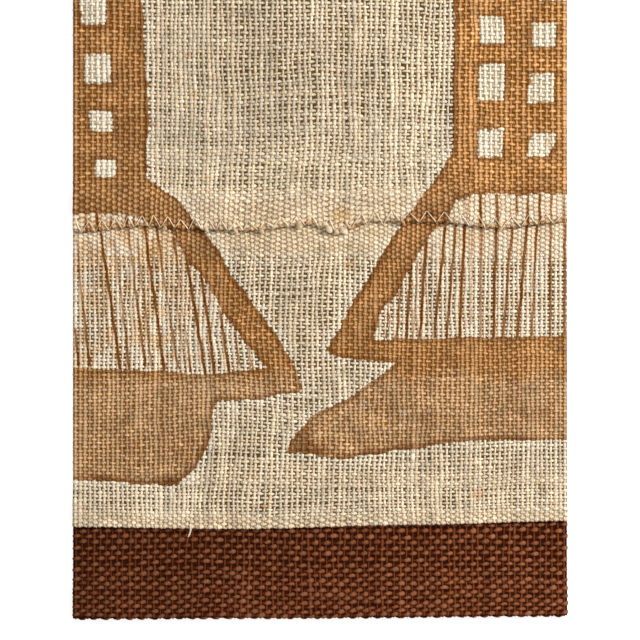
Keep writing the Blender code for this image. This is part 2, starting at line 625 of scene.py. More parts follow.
def speck_table():
    """The named specks and many small ones, scattered once and for all."""
    rng = np.random.default_rng(401)
    specks = list(SPECKS)
    for _ in range(SMALL_SPECKS):
        place = (rng.uniform(-98.0, 98.0), rng.uniform(-106.0, 143.0))
        colour = (MUSTARD, STAIN)[rng.integers(2)]
        specks.append((*place, rng.uniform(0.5, 1.1), colour))
    return specks


def blend(first, second, share):
    """Colours between two, with one share for each point."""
    return first + (second - first) * share[..., None]


# The height of a float's top, on the scale that the painted shade and highlight read
FULL_HEIGHT = 0.74


def shade_and_wear(deep, middle, top, painted_light, crown):
    """A dye's colour from painted shade deep between the yarns to the lighter tops of the floats, where the
    dye wears thin and which is also painted highlight.
    """
    return blend(blend(deep, middle, painted_light**1.6), top, crown)


def painted_light_at(height, tight):
    """Painted shade: 0 deep between the yarns and 1 on top of them, on either face of the cloth."""
    return ease((np.abs(height) + 0.10 - 0.13 * tight) / (0.62 - 0.10 * tight))


def crown_at(height):
    """1 on the highest parts of the floats, where dye wears off first and the lighter colour is also painted
    highlight.
    """
    return ease((np.abs(height) - 0.38) / 0.28)


def in_squares(x, y):
    """1 in the bare squares and 0 outside them."""
    near = 0.0 * x
    for bare in SQUARES:
        near = np.maximum(near, 1.0 - ease(square_distance(x, y, bare) / 1.5 + 0.5))
    return near


def cotton_at(x, y, tint, painted_light, taken):
    """Undyed cotton: its yarn's tint, blotches, whiter cloth in and beside the figures, and painted shade
    deep between the yarns and along the seam's crease.
    """
    blotch = 1.0 + 0.06 * field(21, x, y, 14.0) + 0.09 * field(22, x, y, 5.0)
    blotch = blotch + 0.08 * field(23, x, y, 2.6)
    # A darker patch round x -30, y 70: partly the cloth's own tone and partly painted shade for a falloff of
    # the light
    blotch = blotch - 0.09 * np.exp(-(((x + 30.0) / 50.0) ** 2) - ((y - 70.0) / 42.0) ** 2)
    # Painted shade: darker deep between the yarns
    colour = blend(COTTON_DEEP, COTTON_TOP, painted_light) * tint * blotch[..., None]
    beside = 0.55 * ease(1.0 - painted_distance(x, y) / 6.0)
    inside = 0.65 * ease(0.5 - skirt_distance(x, y) / 2.0)
    whiter = np.maximum(np.maximum(beside, inside), 0.95 * in_squares(x, y))
    # The whiter cloth has painted shade between its yarns too
    white = blend(BLEACHED_DEEP, BLEACHED_TOP, painted_light) * (0.4 + 0.6 * tint)
    seeped = (0.05 + 0.08 * ease((-40.0 - x) / 20.0)) * ease(0.5 - skirt_distance(x, y) / 4.0)
    # Stronger deep between the yarns, which warms the painted shade there
    seeped = seeped * (1.8 - 1.2 * painted_light) * (0.2 + 1.6 * ease(0.5 + 1.3 * field(25, x, y, 3.5)))
    colour = blend(colour, white, whiter) * (1.0 - np.outer(seeped, SKIRT_WARMTH))
    # Painted shade along the seam's crease, on both strips, uneven along it
    edge = SEAM + wave_at(SEAM_WAVE, x / WIDTH + 0.5)
    seam_shade = ease(1.0 - np.abs(edge + 0.1 - y) / 1.7)
    seam_shade = seam_shade * (0.4 + 0.6 * ease(0.5 + 1.2 * field(24, x, y, 5.0)))
    colour = blend(colour, colour * SEAM_SHADE_TINT, 0.85 * taken * seam_shade)
    for speck_x, speck_y, radius, stain in speck_table():
        away = np.hypot((x - speck_x) / 1.4, y - speck_y) / radius
        stained = 0.55 * ease(1.3 - away)
        colour = blend(colour, np.array(stain), stained)
    return colour


# Where the dye pooled along its edges: middle x and y, reach across and along, how dark, and how
# far in from the edge
POOLS = (
    (-84.0, -89.0, 22.0, 7.0, 0.75, 4.0),
    (-58.0, -88.0, 12.0, 7.0, 0.90, 4.0),
    (-46.0, -74.0, 6.0, 14.0, 0.80, 3.5),
    (-26.0, -55.0, 22.0, 3.0, 0.45, 2.5),
    (-8.0, -74.0, 14.0, 9.0, 1.00, 7.5),
    (13.0, -53.5, 9.0, 5.0, 1.00, 2.2),
    (30.0, -77.0, 26.0, 6.0, 0.85, 4.5),
    (80.0, -72.6, 30.0, 5.0, 0.55, 3.0),
    (-28.0, -18.0, 14.0, 26.0, 0.75, 2.4),
    (-46.0, 12.0, 12.0, 12.0, 0.65, 2.4),
    (20.0, 0.0, 16.0, 26.0, 0.90, 3.6),
    (8.0, -36.0, 10.0, 6.0, 0.65, 2.5),
    (53.8, 85.0, 3.0, 46.0, 1.60, 1.2),
    (53.5, 48.0, 4.0, 14.0, 0.90, 1.4),
    (-69.4, 46.0, 3.0, 14.0, 1.20, 1.2),
)

# Dark places in the dye just above the seam, partly stains and partly painted shade: x, y, reach across and
# along, and how dark
STAINS_AND_SHADE = (
    (45.0, 18.4, 8.0, 2.4, 0.95),
    (27.5, 18.8, 4.0, 2.2, 0.55),
)

# Thin places in the dye, where the cotton shows through: x, y and radius
THIN_PLACES = (
    (17.6, -58.0, 1.5),
    (33.6, -61.2, 1.7),
    (32.4, -66.4, 1.4),
)


def pooled_at(x, y):
    """How far the dye has darkened to rust: pools along its edges, stains that are partly painted shade, and
    faint patches.
    """
    away = painted_distance(x, y)
    patchy = 0.78 + 0.40 * field(36, x, y, 4.0)
    ragged = 1.0 + 0.35 * field(35, x, y, 6.0)
    dark = 0.20 * ease(1.6 * field(38, x, y, 7.0) - 0.5)
    for middle_x, middle_y, across, along, strength, reach in POOLS:
        near = np.exp(-(((x - middle_x) / across) ** 2) - ((y - middle_y) / along) ** 2)
        edge = ease(1.15 + away / (reach * ragged))
        dark = np.maximum(dark, strength * near * edge * patchy)
    # Stains above the seam, partly painted shade
    for middle_x, middle_y, across, along, strength in STAINS_AND_SHADE:
        near = np.exp(-(((x - middle_x) / across) ** 2) - ((y - middle_y) / along) ** 2)
        dark = np.maximum(dark, strength * near * patchy)
    return np.clip(dark, 0.0, 1.0)


def paint_at(x, y, tint, painted_light, crown):
    """The dye: rich ochre above, thinner and mottled on the feet, darker where it pooled, with painted shade
    deep between the yarns and painted highlight on the floats' tops.
    """
    ochre = shade_and_wear(OCHRE_DEEP, OCHRE_MID, OCHRE_TOP, painted_light, crown)
    tan = shade_and_wear(TAN_DEEP, TAN_MID, TAN_TOP, painted_light, crown)
    wash = ease((WASH_TOP - y) / WASH_REACH + 0.3 * field(31, x, y, 9.0))
    colour = blend(ochre, tan, wash)
    rust = shade_and_wear(RUST_DEEP, RUST_MID, RUST_TOP, painted_light, crown)
    pooled = pooled_at(x, y)
    colour = blend(colour, rust, pooled) * (1.0 - 0.25 * ease(2.0 * pooled - 1.1))[..., None]
    for thin_x, thin_y, radius in THIN_PLACES:
        bare = 0.40 * ease(1.3 - np.hypot((x - thin_x) / 1.3, y - thin_y) / radius)
        # Where cotton shows through thin dye it has painted shade between the yarns
        colour = blend(colour, COTTON_TOP * (0.5 + 0.5 * painted_light[..., None]), bare)
    mottle = 1.0 + 0.12 * field(32, x, y, 11.0) + 0.17 * field(33, x, y, 4.0)
    mottle = mottle + 0.20 * field(37, x, y, 1.7)
    cloud = 0.22 * ease(field(34, x, y, 16.0) - 0.25) * wash
    paler = 1.0 + 0.24 * ease((x - 46.0) / 14.0) * ease((y - 26.0) / 14.0)
    return colour * (paler * (mottle - cloud))[..., None] * (0.45 + 0.55 * tint)


def link(tree, source, target):
    tree.links.new(source, target)


def maths(tree, operation, first, second=None, third=None):
    """One Math node. Its inputs are sockets or numbers."""
    node = tree.nodes.new("ShaderNodeMath")
    node.operation = operation
    for socket, value in zip(node.inputs, (first, second, third)):
        if value is None:
            continue
        if isinstance(value, (int, float)):
            socket.default_value = value
        else:
            link(tree, value, socket)
    return node.outputs[0]


def ramp(tree, value, low, high):
    """0 below low, 1 above high, and smooth between them. It falls where low is the higher."""
    node = tree.nodes.new("ShaderNodeMapRange")
    node.interpolation_type = "SMOOTHSTEP"
    link(tree, value, node.inputs["Value"])
    node.inputs["From Min"].default_value = min(low, high)
    node.inputs["From Max"].default_value = max(low, high)
    node.inputs["To Min"].default_value = float(low > high)
    node.inputs["To Max"].default_value = float(low < high)
    return node.outputs["Result"]


def product(tree, *values):
    result = values[0]
    for value in values[1:]:
        result = maths(tree, "MULTIPLY", result, value)
    return result


def mixed(tree, share, first, second):
    """Colour mix. The colours are sockets or linear RGB."""
    node = tree.nodes.new("ShaderNodeMix")
    node.data_type = "RGBA"
    link(tree, share, node.inputs["Factor"])
    for socket, value in ((node.inputs[6], first), (node.inputs[7], second)):
        if isinstance(value, (tuple, list)):
            socket.default_value = (*value, 1.0)
        else:
            link(tree, value, socket)
    return node.outputs[2]


def scaled(tree, colour, share):
    """A colour times a number."""
    node = tree.nodes.new("ShaderNodeVectorMath")
    node.operation = "SCALE"
    link(tree, colour, node.inputs[0])
    link(tree, share, node.inputs["Scale"])
    return node.outputs[0]


def attribute(tree, name, output):
    node = tree.nodes.new("ShaderNodeAttribute")
    node.attribute_name = name
    return node.outputs[output]


def parts_of(tree, vector):
    node = tree.nodes.new("ShaderNodeSeparateXYZ")
    link(tree, vector, node.inputs["Vector"])
    return node.outputs


def noise(tree, scale, detail=2.0, roughness=0.5):
    """Noise over the object's own metres, so scale is in swells to a metre."""
    place = tree.nodes.new("ShaderNodeTexCoord")
    node = tree.nodes.new("ShaderNodeTexNoise")
    link(tree, place.outputs["Object"], node.inputs["Vector"])
    node.inputs["Scale"].default_value = scale
    node.inputs["Detail"].default_value = detail
    node.inputs["Roughness"].default_value = roughness
    return node.outputs["Fac"]


def twist(tree, pitch):
    """Height of the yarn's twisted plies, from its own length in millimetres and turn."""
    node = tree.nodes.new("ShaderNodeUVMap")
    node.uv_map = "Yarn"
    length, turn, _ = parts_of(tree, node.outputs["UV"])
    turned = maths(tree, "MULTIPLY_ADD", length, 1.0 / pitch, turn)
    wave = maths(tree, "SINE", maths(tree, "MULTIPLY", turned, 2.0 * math.pi))
    return maths(tree, "MULTIPLY_ADD", wave, 0.5, 0.5)


def new_material(name, roughness, sheen, specular):
    made = bpy.data.materials.new(name)
    made.use_nodes = True
    shader = made.node_tree.nodes["Principled BSDF"]
    shader.inputs["Roughness"].default_value = roughness
    shader.inputs["Specular IOR Level"].default_value = specular
    shader.inputs["Sheen Weight"].default_value = sheen
    shader.inputs["Sheen Roughness"].default_value = 0.6
    return made, made.node_tree, shader


def finish_yarn(tree, shader, colour, twist_pitch, low, fibre_share):
    """Colour and relief of the twist and of loose fibres."""
    plies = twist(tree, twist_pitch)
    fibres = noise(tree, 2600.0, 3.0, 0.65)
    shade = maths(tree, "MULTIPLY_ADD", fibres, fibre_share, low)
    shade = maths(tree, "MULTIPLY_ADD", plies, 0.12, shade)
    link(tree, scaled(tree, colour, shade), shader.inputs["Base Color"])
    bump = tree.nodes.new("ShaderNodeBump")
    bump.inputs["Strength"].default_value = 0.6
    bump.inputs["Distance"].default_value = 0.00012
    link(tree, maths(tree, "MULTIPLY_ADD", fibres, 0.7, plies), bump.inputs["Height"])
    link(tree, bump.outputs["Normal"], shader.inputs["Normal"])


# Half the width of a painted line, in millimetres: at no strength and for full strength more
LINE_HALF = 0.16
LINE_MORE = 0.38
LINE_COLOUR = (0.165, 0.056, 0.009)
LINE_HALO = (0.50, 0.26, 0.085)

# The thin rim where dye has gathered along its edge
RIM_COLOUR = (0.15, 0.052, 0.009)


def painted_cotton():
    """Cotton with the dye on it: the ground and the skirts' thin lines."""
    made, tree, shader = new_material("painted_cotton", 0.90, 0.0, 0.07)
    distance, line, gap = parts_of(tree, attribute(tree, "pattern", "Vector"))
    depth = attribute(tree, "paint", "Alpha")
    strength = attribute(tree, "cotton", "Alpha")
    bleed = maths(tree, "SUBTRACT", noise(tree, 900.0, 2.0), 0.5)
    distance = maths(tree, "MULTIPLY_ADD", bleed, 0.9, distance)
    half = maths(tree, "MULTIPLY_ADD", strength, LINE_MORE, LINE_HALF)
    away = product(tree, maths(tree, "PINGPONG", line, 0.5), gap)
    away = maths(tree, "MULTIPLY_ADD", bleed, 0.5, away)
    away = maths(tree, "SUBTRACT", away, half)
    halo = product(tree, ramp(tree, away, 0.7, 0.0), strength, depth, 0.6)
    core = product(tree, ramp(tree, away, 0.12, -0.10), strength, depth)
    cotton = mixed(tree, halo, attribute(tree, "cotton", "Color"), LINE_HALO)
    cotton = mixed(tree, core, cotton, LINE_COLOUR)
    ground = product(tree, ramp(tree, distance, 0.2, -0.12), depth)
    uneven = ramp(tree, noise(tree, 70.0), 0.30, 0.56)
    rim = product(tree, ramp(tree, distance, -2.1, -0.9), uneven, 0.62)
    paint = mixed(tree, rim, attribute(tree, "paint", "Color"), RIM_COLOUR)
    dyed = mixed(tree, ground, cotton, paint)
    finish_yarn(tree, shader, dyed, 0.9, 0.80, 0.26)
    return made


def plain_yarn():
    """A yarn whose colour is in its own cotton attribute, with no dye painted on."""
    made, tree, shader = new_material("brown_yarn", 0.85, 0.0, 0.02)
    finish_yarn(tree, shader, attribute(tree, "cotton", "Color"), 1.3, 0.64, 0.48)
    return made


def gap_shade_material(name, tight, open_gap, bleached, dyed):
    """Painted shade: the dark colour of the sheet inside the weave, which shows only through its gaps."""
    made, tree, shader = new_material(name, 0.95, 0.0, 0.1)
    distance, openness, square = parts_of(tree, attribute(tree, "pattern", "Vector"))
    bare = mixed(tree, openness, tight, open_gap)
    bare = mixed(tree, square, bare, bleached)
    colour = mixed(tree, ramp(tree, distance, 0.4, -0.4), bare, dyed)
    grain = ramp(tree, noise(tree, 700.0, 3.0), 0.3, 0.7)
    shade = maths(tree, "MULTIPLY_ADD", grain, 0.8, 0.6)
    link(tree, scaled(tree, colour, shade), shader.inputs["Base Color"])
    bump = tree.nodes.new("ShaderNodeBump")
    bump.inputs["Strength"].default_value = 0.5
    bump.inputs["Distance"].default_value = 0.0002
    link(tree, grain, bump.inputs["Height"])
    link(tree, bump.outputs["Normal"], shader.inputs["Normal"])
    return made


def mesh_from(name, points, loops, sizes):
    """A smooth mesh from points in millimetres and the corner list of its faces."""
    mesh = bpy.data.meshes.new(name)
    mesh.vertices.add(len(points))
    mesh.loops.add(len(loops))
    mesh.polygons.add(len(sizes))
    mesh.vertices.foreach_set("co", (points * METRES).astype(np.float32).ravel())
    mesh.loops.foreach_set("vertex_index", loops.astype(np.int32))
    starts = np.concatenate(([0], np.cumsum(sizes)[:-1]))
    mesh.polygons.foreach_set("loop_start", starts.astype(np.int32))
    mesh.update(calc_edges=True)
    mesh.validate()
    mesh.shade_smooth()
    made = bpy.data.objects.new(name, mesh)
    bpy.context.scene.collection.objects.link(made)
    return made


def store(made, name, kind, values):
    """Keeps values on the points, for the shaders."""
    layer = made.data.attributes.new(name, kind, "POINT")
    field_name = "color" if kind == "FLOAT_COLOR" else "vector"
    layer.data.foreach_set(field_name, values.astype(np.float32).ravel())


def store_map(made, name, values):
    layer = made.data.uv_layers.new(name=name)
    layer.uv.foreach_set("vector", values.astype(np.float32).ravel())


def ring_turns(sides):
    """Angles round a yarn, the first at its top."""
    return math.pi / 2 + 2.0 * math.pi * np.arange(sides) / sides


def tubes(name, path, up, side_radius, up_radius, sides):
    """Closed tubes round many paths at once. path and up are yarns by points by 3."""
    yarns, points, _ = path.shape
    ahead = np.gradient(path, axis=1)
    ahead = ahead / np.linalg.norm(ahead, axis=2, keepdims=True)
    side = np.cross(ahead, up)
    side = side / np.linalg.norm(side, axis=2, keepdims=True)
    top = np.cross(side, ahead)
    turn = ring_turns(sides)
    ring = (
        path[:, :, None, :]
        + side[:, :, None, :] * (side_radius[:, :, None] * np.cos(turn))[..., None]
        + top[:, :, None, :] * (up_radius[:, :, None] * np.sin(turn))[..., None]
    )
    index = np.arange(yarns * points * sides).reshape(yarns, points, sides)
    after = np.roll(index, -1, axis=2)
    quads = np.stack((index[:, :-1], index[:, 1:], after[:, 1:], after[:, :-1]), axis=-1)
    caps = np.concatenate((index[:, :1], index[:, -1:, ::-1]), axis=1)
    loops = np.concatenate((quads.ravel(), caps.ravel()))
    sizes = np.concatenate((np.full(quads.size // 4, 4), np.full(yarns * 2, sides)))
    made = mesh_from(name, ring.reshape(-1, 3), loops, sizes)
    store_map(made, "OFBake", strip_map(yarns, points, sides))
    store_map(made, "Yarn", yarn_map(path, sides))
    return made, ring


def skin_corners(first, last, lower, upper):
    """Map corners of the skin's faces, in the order of tubes."""
    corners = ((first, lower), (last, lower), (last, upper), (first, upper))
    return np.stack([np.stack(pair, axis=-1) for pair in corners], axis=3).reshape(-1, 2)


def strip_map(yarns, points, sides):
    """Lays each yarn's skin out as one straight strip of the square, its caps at the ends."""
    shape = (yarns, points - 1, sides)
    u = 0.012 + 0.976 * np.arange(points) / (points - 1)
    v = (np.arange(yarns)[:, None] + 0.05 + 0.9 * np.arange(sides + 1) / sides) / yarns
    skin = skin_corners(
        np.broadcast_to(u[None, :-1, None], shape),
        np.broadcast_to(u[None, 1:, None], shape),
        np.broadcast_to(v[:, None, :-1], shape),
        np.broadcast_to(v[:, None, 1:], shape),
    )
    turn = ring_turns(sides)
    cap_v = (np.arange(yarns)[:, None] + 0.5 + 0.4 * np.sin(turn)) / yarns
    start = np.stack((np.broadcast_to(0.005 + 0.004 * np.cos(turn), cap_v.shape), cap_v), axis=-1)
    end = np.stack((np.broadcast_to(0.995 + 0.004 * np.cos(turn), cap_v.shape), cap_v), axis=-1)
    caps = np.stack((start, end[:, ::-1]), axis=1)
    return np.concatenate((skin, caps.reshape(-1, 2)))


def yarn_map(path, sides):
    """Each yarn's own length in millimetres and its share of a turn, for the twist."""
    yarns, points, _ = path.shape
    shape = (yarns, points - 1, sides)
    steps = np.linalg.norm(np.diff(path, axis=1), axis=2)
    length = np.concatenate((np.zeros((yarns, 1)), np.cumsum(steps, axis=1)), axis=1)
    share = np.arange(sides + 1) / sides
    skin = skin_corners(
        np.broadcast_to(length[:, :-1, None], shape),
        np.broadcast_to(length[:, 1:, None], shape),
        np.broadcast_to(share[:-1], shape),
        np.broadcast_to(share[1:], shape),
    )
    ends = np.zeros((yarns, 2, sides, 2))
    ends[:, 1, :, 0] = length[:, -1:]
    return np.concatenate((skin, ends.reshape(-1, 2)))


def paced(table, length):
    """Places along a length, spaced by the table's pitches and half a pitch from both ends."""
    at, pitch = np.array(table).T
    places = [pitch[0] / 2]
    while places[-1] + np.interp(places[-1], at, pitch) < length - pitch[-1] / 3:
        places.append(places[-1] + np.interp(places[-1], at, pitch))
    places = np.array(places)
    return places * (length - pitch[-1] / 2) / places[-1]


def lattice(cloth, rng):
    """Where every weft crosses every warp, on the flat cloth, in columns by rows."""
    rows = paced(cloth.row_pitch, cloth.section.length)
    base = paced(cloth.column_pitch, WIDTH) - WIDTH / 2
    columns = len(base)
    row_gap = np.gradient(rows)
    x = np.repeat(base[:, None], len(rows), axis=1)
    s = np.repeat(rows[None, :], columns, axis=0)
    inner = 1.0 - np.abs(2.0 * x / WIDTH) ** 6
    ends = ease(s / 22.0) * ease((cloth.section.length - s) / 22.0)
    bow_x = 1.0 * field(cloth.seed + 1, x, s, 38.0) + 0.45 * field(cloth.seed + 2, x, s, 11.0)
    bow_s = 1.1 * field(cloth.seed + 3, x, s, 45.0) + 0.45 * field(cloth.seed + 4, x, s, 12.0)
    own_x = drift(rng, columns, len(rows), len(rows) // 7)
    own_s = drift(rng, len(rows), columns, columns // 7).T
    loose_x = 0.10 * own_x + 0.045 * rng.normal(size=x.shape)
    loose_s = 0.11 * own_s + 0.050 * rng.normal(size=x.shape)
    x = x + inner * (bow_x + WIDTH / columns * loose_x)
    s = s + ends * bow_s + row_gap[None, :] * loose_s * ease(np.minimum(s, 2.0) / 2.0)
    return x, s


@dataclass
class Stops:
    """Points along a yarn: place among its crossings, height, fullness and side of the float."""

    at: np.ndarray
    level: np.ndarray
    full: np.ndarray
    side: np.ndarray
    count: int
    uneven: float

    def read(self, values):
        """Values between the crossings, going on past both ends."""
        low = np.clip(np.floor(self.at).astype(int), 0, self.count - 2)
        share = self.at - low
        return values[:, low] * (1.0 - share) + values[:, low + 1] * share

    def nearest(self, values):
        """Values that stay the same along each float."""
        return values[:, np.clip(np.round(self.at).astype(int), 0, self.count - 1)]


def stops_for(count, over_first, shape):
    """The float's points on each crossing that the yarn goes over, and one on the others."""
    rows = []
    for crossing in range(count):
        if (crossing % 2 == 0) == over_first:
            for at, level, full, side in zip(shape.at, shape.level, shape.full, shape.side):
                rows.append((crossing + at, level, full, side))
        else:
            rows.append((crossing, shape.under_level, shape.under_full, 0.0))
    at, level, full, side = np.array(rows).T
    return Stops(at, level, full, side, count, shape.uneven)


def slubs(rng, count, points, chance, size):
    """Thick places along the yarns: mostly 1, with a few short swells."""
    at = np.arange(points)
    swell = np.ones((count, points))
    for yarn in range(count):
        for _ in range(rng.poisson(chance)):
            reach = rng.uniform(3.0, 12.0)
            high = rng.uniform(0.4, 1.0) * size
            swell[yarn] += high * np.exp(-(((at - rng.uniform(0, points)) / reach) ** 2))
    return swell


def yarn_tints(rng, tints, count, stops):
    """Each yarn's tint, a slow change along it, and a little from float to float."""
    points = len(stops.at)
    first = tints[rng.integers(len(tints), size=count)]
    second = tints[rng.integers(len(tints), size=count)]
    share = ease(drift(rng, count, points, max(3, points // 14)) * 0.8 + 0.5)[..., None]
    light = 0.045 * rng.normal(size=(count, 1)) + 0.05 * drift(rng, count, points, points // 9)
    light = 1.0 + stops.uneven * light + 0.07 * stops.nearest(rng.normal(size=(count, stops.count)))
    return (first[:, None] * (1.0 - share) + second[:, None] * share) * light[..., None]


def half_widths(rng, count, stops, half):
    """Uneven hand-spun yarn: fuller on top of a crossing, with thick and thin stretches."""
    points = len(stops.at)
    uneven = 0.12 * drift(rng, count, points, points // 12) + 0.11 * rng.normal(size=(count, 1))
    uneven = 1.0 + stops.uneven * uneven
    uneven = uneven + 0.07 * stops.nearest(rng.normal(size=(count, stops.count)))
    swell = slubs(rng, count, points, 0.8 * stops.uneven, 0.45)
    return half * stops.full * np.clip(uneven, 0.66, 1.4) * swell


def tightness(cloth, s):
    """1 where the warps are pressed together and hide the wefts, and 0 where they lie open."""
    at, pitch = np.array(cloth.row_pitch).T
    return 1.0 - ease((np.interp(s, at, pitch) - 0.95) / 0.50)


TURN_OUT = 0.34
TURN_FULL = 0.62


def turned_end(x, s, height, mate_x, way, gap):
    """Two more points at a selvage, where a weft turns towards its neighbour."""
    across = mate_x - x
    end_x = np.stack((x + 0.25 * across, x + 0.5 * across), axis=1)
    end_s = np.stack((s + 0.75 * way * TURN_OUT * gap, s + way * TURN_OUT * gap), axis=1)
    end_height = np.stack((0.45 * height, 0.0 * height), axis=1)
    return end_x, end_s, end_height


def weft_yarns(cloth, x, s, light, parity, rng):
    """Every second yarn across the strip, turned halfway to its neighbour at the selvages."""
    columns, rows = x.shape
    order = np.arange(parity, columns, 2)
    stops = stops_for(rows, parity == 0, cloth.weft_float)
    tints = yarn_tints(rng, cloth_tints(cloth), len(order), stops)
    tints = tints * stops.read(light[order])[..., None]
    path_x = stops.read(x[order])
    path_s = stops.read(s[order])
    wide = half_widths(rng, len(order), stops, cloth.weft_half)
    wide = wide * (1.0 + 0.12 * field(cloth.seed + 5, path_x, path_s, 7.0))
    swell = 1.0 + 0.10 * stops.nearest(rng.normal(size=(len(order), rows)))
    height = stops.level * cloth.weft_rise * swell * (1.0 - 0.80 * tightness(cloth, path_s))
    low_mate = order + (1 if parity == 0 else -1)
    high_mate = order - (1 if parity == 0 else -1)
    ends = []
    for mate, column, way in ((low_mate, 0, -1.0), (high_mate, -1, 1.0)):
        mate = np.where((mate < 0) | (mate >= columns), order, mate)
        gap = abs(s[0, column] - s[0, column + int(-way)])
        ends.append(
            turned_end(path_x[:, column], path_s[:, column], height[:, column], x[mate, column], way, gap)
        )
    (low_x, low_s, low_height), (high_x, high_s, high_height) = ends
    path_x = np.concatenate((low_x[:, ::-1], path_x, high_x), axis=1)
    path_s = np.concatenate((low_s[:, ::-1], path_s, high_s), axis=1)
    height = np.concatenate((low_height[:, ::-1], height, high_height), axis=1)
    wide = np.pad(wide, ((0, 0), (2, 2)), mode="edge")
    wide[:, (0, 1, -2, -1)] *= TURN_FULL
    tints = np.pad(tints, ((0, 0), (2, 2), (0, 0)), mode="edge")
    return path_x, path_s, height, wide, tints


def warp_yarns(cloth, x, s, light, parity, rng):
    """Every second yarn along the strip, cut at both sides of the cloth."""
    columns, rows = x.shape
    order = np.arange(parity, rows, 2)
    stops = stops_for(columns, parity == 1, cloth.warp_float)
    tints = yarn_tints(rng, cloth_tints(cloth), len(order), stops)
    tints = tints * stops.nearest(light.T[order])[..., None]
    path_x = stops.read(x.T[order])
    path_s = stops.read(s.T[order])
    tight = tightness(cloth, path_s)
    slant = cloth.slant + cloth.slant_more * stops.nearest(rng.normal(size=(len(order), columns)))
    path_s = path_s + slant * stops.side
    wide = half_widths(rng, len(order), stops, cloth.warp_half) * (1.0 + 0.50 * tight)
    wide = wide * (1.0 + 0.12 * field(cloth.seed + 6, path_x, path_s, 7.0))
    gap = np.gradient(s.mean(axis=0))[order, None]
    wide = np.minimum(wide, (0.90 + 0.15 * tight) * gap * stops.full)
    swell = 1.0 + 0.10 * stops.nearest(rng.normal(size=(len(order), columns)))
    level = stops.level - 0.8 * tight * (1.0 - stops.level) * (stops.level > 0.0)
    height = level * cloth.warp_rise * swell * (1.0 + 0.12 * tight)
    left = -WIDTH / 2 + rng.uniform(-0.10, 0.12, (len(order), 1))
    right = WIDTH / 2 + rng.uniform(-0.12, 0.10, (len(order), 1))
    path_x = np.concatenate((left, path_x, right), axis=1)
    path_s = np.pad(path_s, ((0, 0), (1, 1)), mode="edge")
    height = np.pad(height, ((0, 0), (1, 1)))
    wide = np.pad(wide, ((0, 0), (1, 1)), mode="edge")
    tints = np.pad(tints, ((0, 0), (1, 1), (0, 0)), mode="edge")
    return path_x, path_s, height, wide, tints


def cloth_tints(cloth):
    return COTTON_TINTS if cloth.slot == "cream_cotton" else BROWN_TINTS


# Painted light and shade: how much lighter bare cloth is made where its yarns are pressed together, and how
# much darker dye
PAINTED_LIGHT_PRESSED = 0.10
PAINTED_SHADE_PRESSED = -0.10

# The share of the dye's edge that follows whole yarns and floats rather than cutting across
BY_YARN = 0.7


def pattern_at(x, y, middle_x, middle_y, lines):
    """What the shaders read: distance to the paint, place among the lines and their gap."""
    taken_x = x + BY_YARN * (middle_x - x)
    taken_y = y + BY_YARN * (middle_y - y)
    away = painted_distance(taken_x, taken_y)
    away = away + 0.28 * field(71, taken_x, taken_y, 1.1) + 0.30 * field(72, taken_x, taken_y, 2.6)
    within = skirt_distance(x, y)
    near = within < 1.5
    place = np.full(x.shape, 0.5)
    gap = np.full(x.shape, 9.0)
    strength = np.zeros(x.shape)
    place[near], gap[near], strength[near] = line_places(x[near], y[near], lines)
    strength = strength * ease(0.9 - within / 1.5)
    return np.stack((away, place, gap), axis=-1), strength


def dressed(made, cloth, ring, tints, height, tight, wear_and_highlight=1.0, taken=1.0):
    """Stores the colours and the pattern on a set of tubes.

    Also how far the dye wears off their tops, which paints a highlight there too, and how much dye and
    painted seam shade they took.
    """
    x = ring[..., 0].ravel()
    y = ring[..., 1].ravel()
    tint = np.repeat(tints[:, :, None, :], ring.shape[2], axis=2).reshape(-1, 3)
    # Painted shade deep between the yarns, and painted highlight with the dye's wear on the floats' tops
    painted_light = painted_light_at(height, tight).ravel()
    crown = wear_and_highlight * crown_at(height).ravel()
    pressed = (tight + 0.0 * height).ravel()[:, None]
    strength = np.ones(x.shape)
    if cloth.lines:
        # Painted light on pressed bare cotton, and painted shade on pressed dye
        cotton = cotton_at(x, y, tint, painted_light, taken) * (1.0 + PAINTED_LIGHT_PRESSED * pressed)
        paint = paint_at(x, y, tint, painted_light, crown) * (1.0 + PAINTED_SHADE_PRESSED * pressed)
        soaked = taken * (0.40 + 0.60 * ease(height.ravel() * 2.2 + 1.9))
        paint = np.column_stack((paint, soaked))
        middle = np.repeat(ring.mean(axis=2, keepdims=True), ring.shape[2], axis=2).reshape(-1, 3)
        pattern, strength = pattern_at(x, y, middle[:, 0], middle[:, 1], cloth.lines)
        store(made, "paint", "FLOAT_COLOR", paint)
        store(made, "pattern", "FLOAT_VECTOR", pattern)
    else:
        # Painted light: the border's yarn lighter towards the right, the side of the key light
        across = 0.94 + 0.16 * x[:, None] / (WIDTH / 2)
        cotton = shade_and_wear(BROWN_DEEP, BROWN_MID, BROWN_TOP, painted_light, crown) * tint * across
    store(made, "cotton", "FLOAT_COLOR", np.column_stack((cotton, strength)))


# How much lighter or darker one column of the weave is than the next
COLUMN_LIGHT = 0.07


def column_light(rng, columns, rows):
    """Light and dark columns, which change slowly along their length."""
    own = 0.7 * rng.normal(size=(columns, 1)) + 0.7 * drift(rng, columns, rows, rows // 9)
    return 1.0 + COLUMN_LIGHT * own


